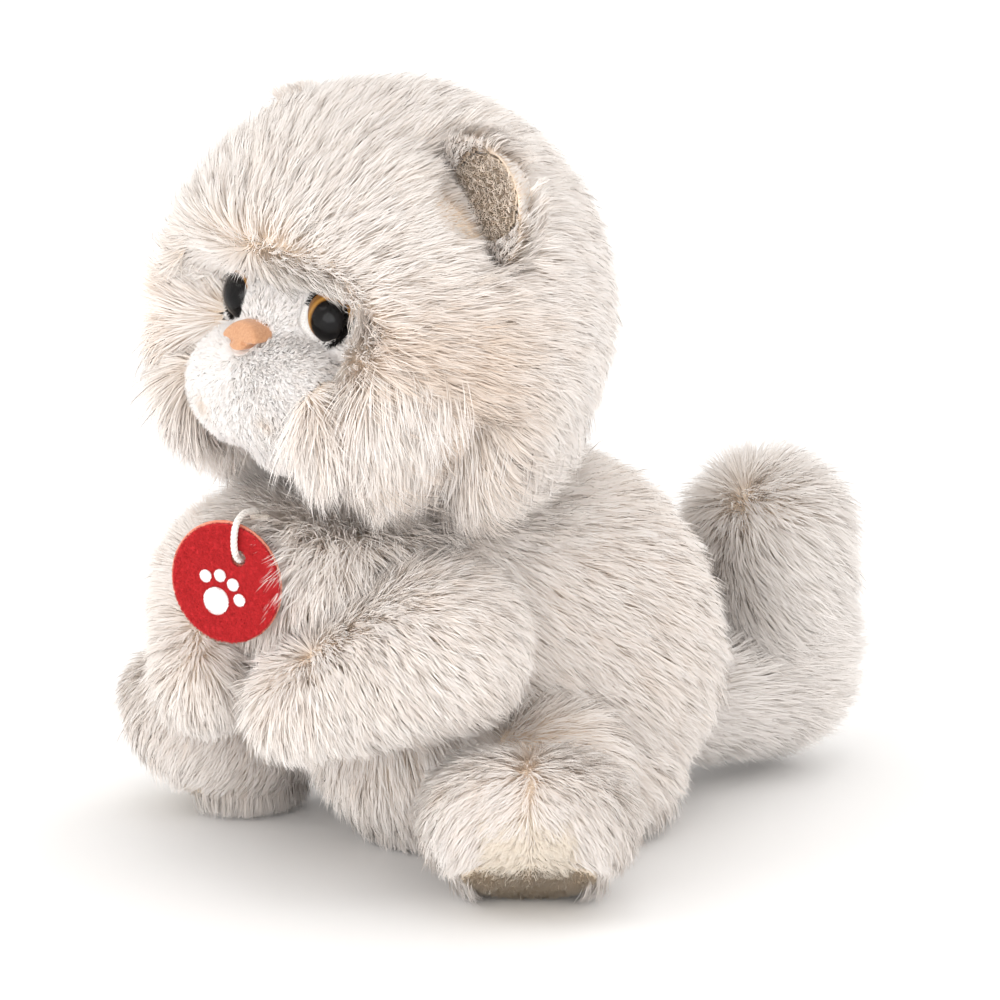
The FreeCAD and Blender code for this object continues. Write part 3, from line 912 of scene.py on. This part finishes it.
def head_flow(p, n):
    """Long pile is combed away from the face, and hangs down on the cheeks and at the back."""
    source = vec(0, HEAD[1] - HEAD_RADIUS, HEAD[2] + 0.006)
    flow = unit(p - source)
    low = ease(HEAD[2] - p[:, 2], -0.01, 0.05)[:, None]
    back = ease(p[:, 1] - HEAD[1], -0.02, 0.06)[:, None]
    near_rim = (1 - ease(far_from(p, source), 0.045, 0.075))[:, None]
    inward = -unit(p * SIDEWAYS)
    bottom = ease(-n[:, 2], 0.3, 0.8)[:, None]
    hang = UP * (0.75 * low + 0.5 * back) * (1 - bottom)
    return flow * (1 - 0.8 * low * near_rim) - hang + inward * 0.35 * low * near_rim


def ear_distance(points):
    """How far in front of an ear's lining a point is, or a large number elsewhere."""
    found = np.full(len(points), 1.0)
    for side in SIDES:
        up, forward, lining = ear_axes(side)
        offset = points - lining
        ahead = offset @ forward
        flat = offset - ahead[:, None] * forward
        wide = far_from(flat, (flat @ up)[:, None] * up)
        near = (wide < 0.019) & (ahead > -0.002)
        found = np.where(near, np.minimum(found, ahead), found)
    return found


def head_length(p, n):
    """Short before the ears and beside the eyes, and longest under the cheeks."""
    before_ear = 0.35 + 0.65 * ease(ear_distance(p), 0.004, 0.020)
    low = ease(HEAD[2] - p[:, 2], 0.020, 0.050)
    return before_ear * off_eyes(p, 0.70, 0.010, 0.022) * (1 + 0.6 * low)


def make_head(torso):
    form = soft_form(["head_stuffing"], 0.0016, head_growth, 5)
    write(form, face_relief(read(form)))
    form = shaped(form, smoothing(6))
    points = read(form)
    face = face_share(points)
    neck = points[:, 2] < HEAD[2] - HEAD_RADIUS
    face_mesh = part_of(form, face > 0.35)
    head_mesh = part_of(form, (face <= 0.5) & ~neck)
    skin_piece("head_backing", "head", *FUR_CLOTH, head_mesh, ["head_cover"])
    skin_piece("face_backing", "head", "face_plush", FACE_BACKING, face_mesh, ["face_panel"], 0.9)

    def keep(p, n):
        return signed_distance(p + n * 0.006, torso) >= 0.002

    def tone(p, n):
        """The cheeks, between eye and ear, are tinted beige: partly the underfur that shows there, partly
        painted shade on the lower cheeks.
        """
        side = ease(np.abs(p[:, 0]), 0.020, 0.045)
        side *= ease(HEAD[2] + 0.030 - p[:, 2], 0.0, 0.03)
        front = ease(HEAD[1] - p[:, 1], -0.02, 0.02)
        eye_far = np.minimum(*[far_from(p, eye) for eye in EYES.values()])
        return 0.78 - 0.56 * side * front * ease(eye_far, 0.014, 0.034)

    skin = dress_skin(head_mesh, head_flow, head_length, keep, tone)
    grow_pile("head_pile", "head", *FUR, skin, 110000, LONG, 11, groups=4)

    def hanging(p, n):
        """The cheeks' and the jaw's fur, and all round the bottom of the head."""
        ahead = unit(p - HEAD) @ FRONT
        beside_muzzle = ease(ahead, 0.20, 0.70) * ease(HEAD[2] - p[:, 2], -0.004, 0.012)
        around = ease(HEAD[2] - p[:, 2], 0.020, 0.050)
        off_face = 1 - ease(face_share(p), 0.08, 0.25)
        outward = dot(n, unit(p - HEAD))[:, 0] > 0.6
        return keep(p, n) * np.maximum(beside_muzzle * outward, 0.8 * around) * off_face

    def down(p, n):
        return -UP + 0.15 * unit(p * SIDEWAYS)

    locks = dress_skin(head_mesh, down, keep=hanging)
    grow_pile("cheek_pile", "head", *FUR, locks, 26000,
              {**LONG, "length": 0.021, "lean": (50, 76), "segments": 4}, 16)
    make_face_pile(part_of(form, face > 0.12))


def make_face_pile(mesh):
    """Short pile that runs away from the nose, with painted shade in the mouth's drawn-in corners."""
    def flow(p, n):
        return p - NOSE + UP * 0.004

    def length(p, n):
        far = far_from(p, NOSE)
        high = ease(p[:, 2] - NOSE[2], 0.008, 0.024)
        return 0.8 + 0.5 * ease(far, 0.02, 0.045) + 1.2 * high

    def tone(p, n):
        shade = np.full(len(p), 0.75)
        # painted shade: the pile darkens in the dimples where the mouth thread draws the corners in
        for corner in MOUTH_CORNERS:
            shade -= 0.7 * np.exp(-((far_from(p, corner) / 0.004) ** 2))
        return shade

    skin = dress_skin(mesh, flow, length, tone=tone)
    grow_pile("face_pile", "head", "face_plush", FACE_PILE, skin, 62000,
              {**SHORT, "lean": (44, 72), "pull": 0.2, "width": 0.00026}, 12)


def make_eyes():
    for side in SIDES:
        wear(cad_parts[f"eye_disc_{side}"].data, painted_eye_material(side))
        mesh = shaped(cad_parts[f"eye_lens_{side}"].data.copy(), voxels(0.00025), smoothing(12))
        dome = as_piece(f"eye_dome_{side}", "head", LENS, mesh)
        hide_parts(f"eye_lens_{side}")
        make_rim_shade(side, EYES[side], eye_axis(side))


RIM_SHADE_STRANDS = 1700
RIM_SHADE_RADIUS = 0.0076
RIM_SHADE_SINK = 0.0018


def make_rim_shade(side, centre, axis):
    """Dark fuzz round the eye's rim, thickest below: painted shade and dark reflection at the lens' edge.
    """
    rng = np.random.default_rng(21 + len(side))
    count = RIM_SHADE_STRANDS
    first = unit(np.cross(axis, UP))
    second = np.cross(first, axis)
    angle = rng.uniform(0, 2 * pi, count)
    below = 0.5 - 0.5 * np.sin(angle)
    angle = angle[rng.random(count) < 0.25 + 0.75 * below]
    count = len(angle)
    out = np.cos(angle)[:, None] * first + np.sin(angle)[:, None] * second
    rim = RIM_SHADE_RADIUS + rng.uniform(-0.0008, 0.0006, count)[:, None]
    roots = centre - axis * RIM_SHADE_SINK + out * rim
    normals = unit(axis + out * 0.35 + rng.normal(0, 0.2, (count, 3)))
    length = rng.uniform(0.0014, 0.0024, count)
    lean = np.radians(np.stack([rng.uniform(0, 20, count), rng.uniform(20, 60, count)], 1))
    paths = strand_paths(roots, normals, out, length, lean, 2)
    mesh = ribbons("rim_shade_blades", paths, out, rng.uniform(0, 1, count), 0.00026, rng)
    as_piece(f"eye_rim_shade_{side}", "head", RIM_SHADE_PILE, mesh)


NOSE_SHARE = vec(0.80, 1.0, 0.74)
NOSE_SLOPE = 0.45
NOSTRIL_ASIDE, NOSTRIL_DROP, NOSTRIL_DEPTH = 0.0029, 0.0019, 0.0012


def make_nose():
    """The pad, smaller and softer than its CAD node, leaning back at the top, with two nostrils."""
    mesh = shaped(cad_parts["nose"].data.copy(), voxels(0.00035), smoothing(80))
    offset = (read(mesh) - NOSE) * NOSE_SHARE
    offset[:, 1] += offset[:, 2] * NOSE_SLOPE
    for side in SIDES.values():
        nostril = np.hypot(offset[:, 0] - side * NOSTRIL_ASIDE, (offset[:, 2] + NOSTRIL_DROP) * 1.6)
        offset[:, 1] += NOSTRIL_DEPTH * np.exp(-((nostril / 0.0010) ** 2)) * (offset[:, 1] < 0.001)
    write(mesh, NOSE + offset + UP * 0.0006)
    piece = as_piece("nose_pad", "head", SUEDE, mesh)
    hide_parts("nose")


LINING_RADIUS = 0.0135


def make_ears():
    for i, side in enumerate(SIDES):
        body = f"ear_{side}"
        up, forward, lining = ear_axes(side)
        form = soft_form([f"ear_cover_{side}", f"ear_lining_{side}"], 0.0010, -0.0012, 4)

        def on_front(points):
            offset = points - lining
            wide = far_from(offset, (offset @ forward)[:, None] * forward)
            return (offset @ forward > -0.0012) & (wide < LINING_RADIUS)

        front = on_front(read(form))
        lining_mesh, cover_mesh = part_of(form, front), part_of(form, ~front)
        skin_piece(f"ear_backing_{side}", body, *FUR_CLOTH, cover_mesh, [f"ear_cover_{side}"])
        skin_piece(f"ear_lining_cloth_{side}", body, *PLUSH_CLOTH, lining_mesh,
                   [f"ear_lining_{side}"])

        def upward(p, n):
            return np.ones_like(p) * up - 0.3 * forward

        fur = dress_skin(cover_mesh, upward)
        style = {**MEDIUM, "length": 0.008, "lean": (35, 75)}
        grow_pile(f"ear_pile_{side}", body, *FUR, fur, 9000, style, 31 + i)
        short = dress_skin(lining_mesh, upward)
        grow_pile(f"ear_lining_pile_{side}", body, "tan_plush", EAR_PILE, short, 5000,
                  {**SHORT, "length": 0.0035}, 33 + i, clear=False)


# Torso and limbs

def torso_flow(p, n):
    """Down on the chest, back and down along the flanks, and back along the spine."""
    front = 1 - ease(p[:, 1], HEAD[1] - 0.035, HEAD[1] + 0.03)
    spine = ease(n[:, 2], 0.3, 0.9)
    return np.stack([n[:, 0] * 0.3, 0.8 * (1 - front), -0.75 + 0.5 * spine], 1)


TORSO_UNDERFUR = 0.0072
NAPE_UNDERFUR = 0.0150
TAIL_UNDERFUR = 0.0075
LEG_UNDERFUR = 0.0030
FOOT_UNDERFUR = 0.0025
NAPE = vec(0, HEAD[1] + 0.076, HEAD[2] - 0.058)


def torso_growth(p, n):
    """The underfur is thickest on the nape, where the pile of back and head meet."""
    nape = np.linalg.norm((p - NAPE) / vec(1.4, 1.0, 1.0), axis=1)
    return n * (TORSO_UNDERFUR + NAPE_UNDERFUR * np.exp(-((nape / 0.030) ** 2)))[:, None]


def nape_share(points):
    """1 close round the neck, where the pile stands up against the head, and 0 away from it."""
    return 1 - ease(far_from(points, HEAD), HEAD_RADIUS + 0.004, HEAD_RADIUS + 0.022)


def make_torso(form, limbs, tail):
    skin_piece("torso_backing", "torso", *FUR_CLOTH, form, ["torso_cover"])

    def keep(p, n):
        tips = p + n * 0.010
        under_head = far_from(tips, HEAD) < HEAD_RADIUS - 0.014
        hidden = under_head | (signed_distance(tips, tail) < 0.004)
        for limb in limbs:
            hidden |= signed_distance(tips, limb) < 0.002
        return ~hidden & (p[:, 2] >= 0.003)

    def length(p, n):
        return 0.75 + 0.25 * ease(p[:, 2], 0.004, 0.03) + 0.5 * nape_share(p)

    skin = dress_skin(form, torso_flow, length, keep)
    grow_pile("torso_pile", "torso", *FUR, skin, 80000, LONG, 13, groups=4)
    hem = dress_skin(form, hem_flow, keep=low_rim)
    grow_pile("torso_hem", "torso", *FUR, hem, 9000,
              {**LONG, "length": 0.014, "lean": (35, 62)}, 17)
    collar = dress_skin(form, lambda p, n: p - HEAD, keep=lambda p, n: keep(p, n) * nape_share(p))
    grow_pile("collar_pile", "torso", *FUR, collar, 16000,
              {**LONG, "length": 0.020, "lean": (5, 45)}, 15)


def make_neck_stitches(torso):
    """The closing stitch of the neck seam: a zigzag of thread that lies on the torso's cloth."""
    low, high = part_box("neck_thread")
    middle = middle_of("neck_thread")
    down = unit(middle - HEAD)
    first = unit(np.cross(down, vec(0, 1.0, 0)))
    second = np.cross(down, first)
    radius = (high.x - low.x) / 2 - 0.0006
    turns = 64
    path = []
    for k in range(2 * turns):
        a = pi * k / turns
        place = middle + (first * cos(a) + second * sin(a)) * radius + down * 0.0014 * (-1) ** k
        spot, normal, _, _ = torso.find_nearest(Vector(place))
        path.append(np.array(spot + normal * 0.0003))
    stitches = new_piece("neck_stitches", "torso", "sewing_thread", THREAD, *tube([np.array(path)], 0.0004))
    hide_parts("neck_thread")


def make_forelegs(forms, torso):
    for i, (side, sign) in enumerate(SIDES.items()):
        low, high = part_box(f"foreleg_cover_{side}")
        source = vec(sign * 0.020, low.y + 0.004, high.z - 0.022)
        skin_piece(f"foreleg_backing_{side}", f"foreleg_{side}", *FUR_CLOTH, forms[side],
                   [f"foreleg_cover_{side}"])

        def flow(p, n):
            return unit(p - source) - UP * 0.75

        def keep(p, n):
            return signed_distance(p + n * 0.008, torso) >= 0.001

        skin = dress_skin(forms[side], flow, keep=keep)
        grow_pile(f"foreleg_pile_{side}", f"foreleg_{side}", *FUR, skin, 26000,
                  {**LONG, "length": 0.0125}, 51 + i)


def make_tail(form, torso):
    low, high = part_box("tail_cover")
    skin_piece("tail_backing", "tail", *FUR_CLOTH, form, ["tail_cover"])

    def flow(p, n):
        standing = ease(p[:, 2], 0.035, 0.06)[:, None]
        round_axis = unit((p - vec(0, (low.y + high.y) / 2 + 0.012, 0)) * LEVEL)
        return vec(0, 1.0, -0.1) * (1 - standing) + (round_axis - UP * 0.5) * standing

    def keep(p, n):
        return signed_distance(p + n * 0.010, torso) >= 0.002

    def length(p, n):
        return 0.6 + 0.4 * ease(p[:, 2], 0.004, 0.03)

    # The tail's pile is painted whiter than the body's: painted light that lifts the tail out of its shade
    skin = dress_skin(form, flow, length, keep, lambda p, n: np.full(len(p), 0.95))
    style = {**LONG, "length": 0.0165, "lean": (28, 66), "pull": 0.2}
    grow_pile("tail_pile", "tail", *FUR, skin, 39000, style, 14)


def low_rim(p, n):
    """1 on the lowest part of a skin that still faces sideways."""
    return ease(0.014 - p[:, 2], 0.0, 0.005) * (n[:, 2] > -0.85)


def hem_flow(p, n):
    return n * LEVEL - UP


def make_feet(torso):
    for i, side in enumerate(SIDES):
        form = soft_form([f"hind_foot_stuffing_{side}"], 0.0016, FOOT_UNDERFUR)
        centre, toe = middle_of(f"hind_foot_cover_{side}"), toe_direction(side)
        skin_piece(f"foot_backing_{side}", "torso", *FUR_CLOTH, form,
                   [f"hind_foot_cover_{side}"])
        make_sole(side, i)

        def toe_share(p, n):
            """1 at the front of the foot, low between the two tufts, and 0 away from it."""
            ahead = ease(unit((p - centre) * LEVEL) @ toe, 0.84, 0.95)
            return ahead * (1 - ease(p[:, 2], centre[2] - 0.001, centre[2] + 0.014))

        def flow(p, n):
            sideways = p - centre
            sideways -= (sideways @ toe)[:, None] * toe
            return unit(sideways * LEVEL) * 0.8 + toe * 0.5 - UP * 0.9

        def keep(p, n):
            facing_down = n[:, 2] < -0.62
            hidden = signed_distance(p + n * 0.006, torso) < 0.001
            return ~(facing_down | hidden) * (1 - 0.97 * toe_share(p, n))

        def length(p, n):
            return (1 - 0.6 * toe_share(p, n)) * (0.65 + 0.35 * ease(p[:, 2], 0.006, 0.02))

        skin = dress_skin(form, flow, length, keep)
        grow_pile(f"foot_pile_{side}", "torso", *FUR, skin, 20000,
                  MEDIUM, 61 + i)

        def fringe(p, n):
            outside = signed_distance(p + n * 0.006, torso) > 0.001
            return low_rim(p, n) * outside * (1 - ease(toe_share(p, n), 0.05, 0.3))

        rim = dress_skin(form, hem_flow, keep=fringe)
        grow_pile(f"foot_fringe_{side}", "torso", *FUR, rim, 8000,
                  {**MEDIUM, "length": 0.014, "lean": (35, 60)}, 67 + i)
        toe_skin = dress_skin(form, flow, keep=toe_share)
        grow_pile(f"toe_pile_{side}", "torso", *PLUSH, toe_skin, 8000,
                  {**SHORT, "length": 0.0055, "lean": (30, 65)}, 65 + i)


SOLE_SHARE = vec(0.86, 0.86, 1)
SOLE_BACK = 0.0025


def toe_direction(side):
    return unit(vec(SIDES[side] * 0.76, -0.65, 0))


def make_sole(side, i):
    """The sole's cloth, a little smaller than its CAD node and set back, with its own pile."""
    form = soft_form([f"sole_pad_{side}"], 0.0010, -0.0008, 4)
    points = read(form)
    middle = points.mean(0)
    write(form, middle - toe_direction(side) * SOLE_BACK + (points - middle) * SOLE_SHARE)
    skin_piece(f"sole_cloth_{side}", "torso", *PLUSH_CLOTH, form, [f"sole_pad_{side}"])

    def flow(p, n):
        return np.ones_like(p) * vec(SIDES[side] * 0.6, -0.6, 0.2)

    skin = dress_skin(form, flow, keep=lambda p, n: n[:, 2] < 0.9)
    grow_pile(f"sole_pile_{side}", "torso", *PLUSH, skin, 14000,
              {**SHORT, "length": 0.0026, "lean": (10, 45)}, 71 + i, clear=False)


SEAT_INSET = 0.003


def make_seat_panel():
    """The flat cloth under the seat, with its rim turned in and stitched down."""
    low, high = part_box("seat_panel")
    centre = middle_of("seat_panel")
    radius = (high.x - low.x) / 2 - SEAT_INSET
    profile = [(0.0, 0.0), (0.55, 0.0), (0.86, 0.0), (0.93, 0.0006), (0.95, 0.0001), (0.99, 0.0003),
               (1.0, 0.0014), (0.985, 0.0028), (0.6, 0.0030), (0.0, 0.0030)]
    count = 96
    verts, faces = [], []
    for share, height in profile:
        for k in range(count):
            a = 2 * pi * k / count
            pucker = 1 + 0.004 * cos(31 * a) * (share > 0.9)
            verts.append((centre[0] + radius * share * pucker * cos(a),
                          centre[1] + radius * share * pucker * sin(a), low.z + 0.0002 + height * 0.93))
    for i in range(len(profile) - 1):
        for k in range(count):
            n = (k + 1) % count
            faces.append((i * count + k, (i + 1) * count + k, (i + 1) * count + n, i * count + n))
    panel = new_piece("seat_cloth", "torso", "base_cloth", BASE_CLOTH, verts, faces)
    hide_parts("seat_panel")


def finish_hidden_parts():
    """Node materials for the CAD pieces that stay as they are."""
    finishes = {"stuffing": FILLING, "bean_pouch": POUCH, "bean_fill": BEANS, "washer": WASHER,
                "neck_thread": THREAD, "tag_anchor": THREAD, "mouth_thread": DARK_THREAD}
    for name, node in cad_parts.items():
        for key, material in finishes.items():
            if key in name:
                wear(node.data, material)


def main():
    make_camera()
    make_cord(make_tag())
    make_studio()
    torso_form = soft_form(["torso_stuffing"], 0.0030, torso_growth)
    tail_form = soft_form(["tail_stuffing"], 0.0024, TAIL_UNDERFUR)
    leg_forms = {side: soft_form([f"foreleg_stuffing_{side}"], 0.0020, LEG_UNDERFUR) for side in SIDES}
    torso = tree_of(torso_form)
    make_head(torso)
    make_eyes()
    make_nose()
    make_ears()
    make_torso(torso_form, [tree_of(form) for form in leg_forms.values()], tree_of(tail_form))
    make_neck_stitches(torso)
    make_forelegs(leg_forms, torso)
    make_tail(tail_form, torso)
    make_feet(torso)
    make_seat_panel()
    finish_hidden_parts()


main()
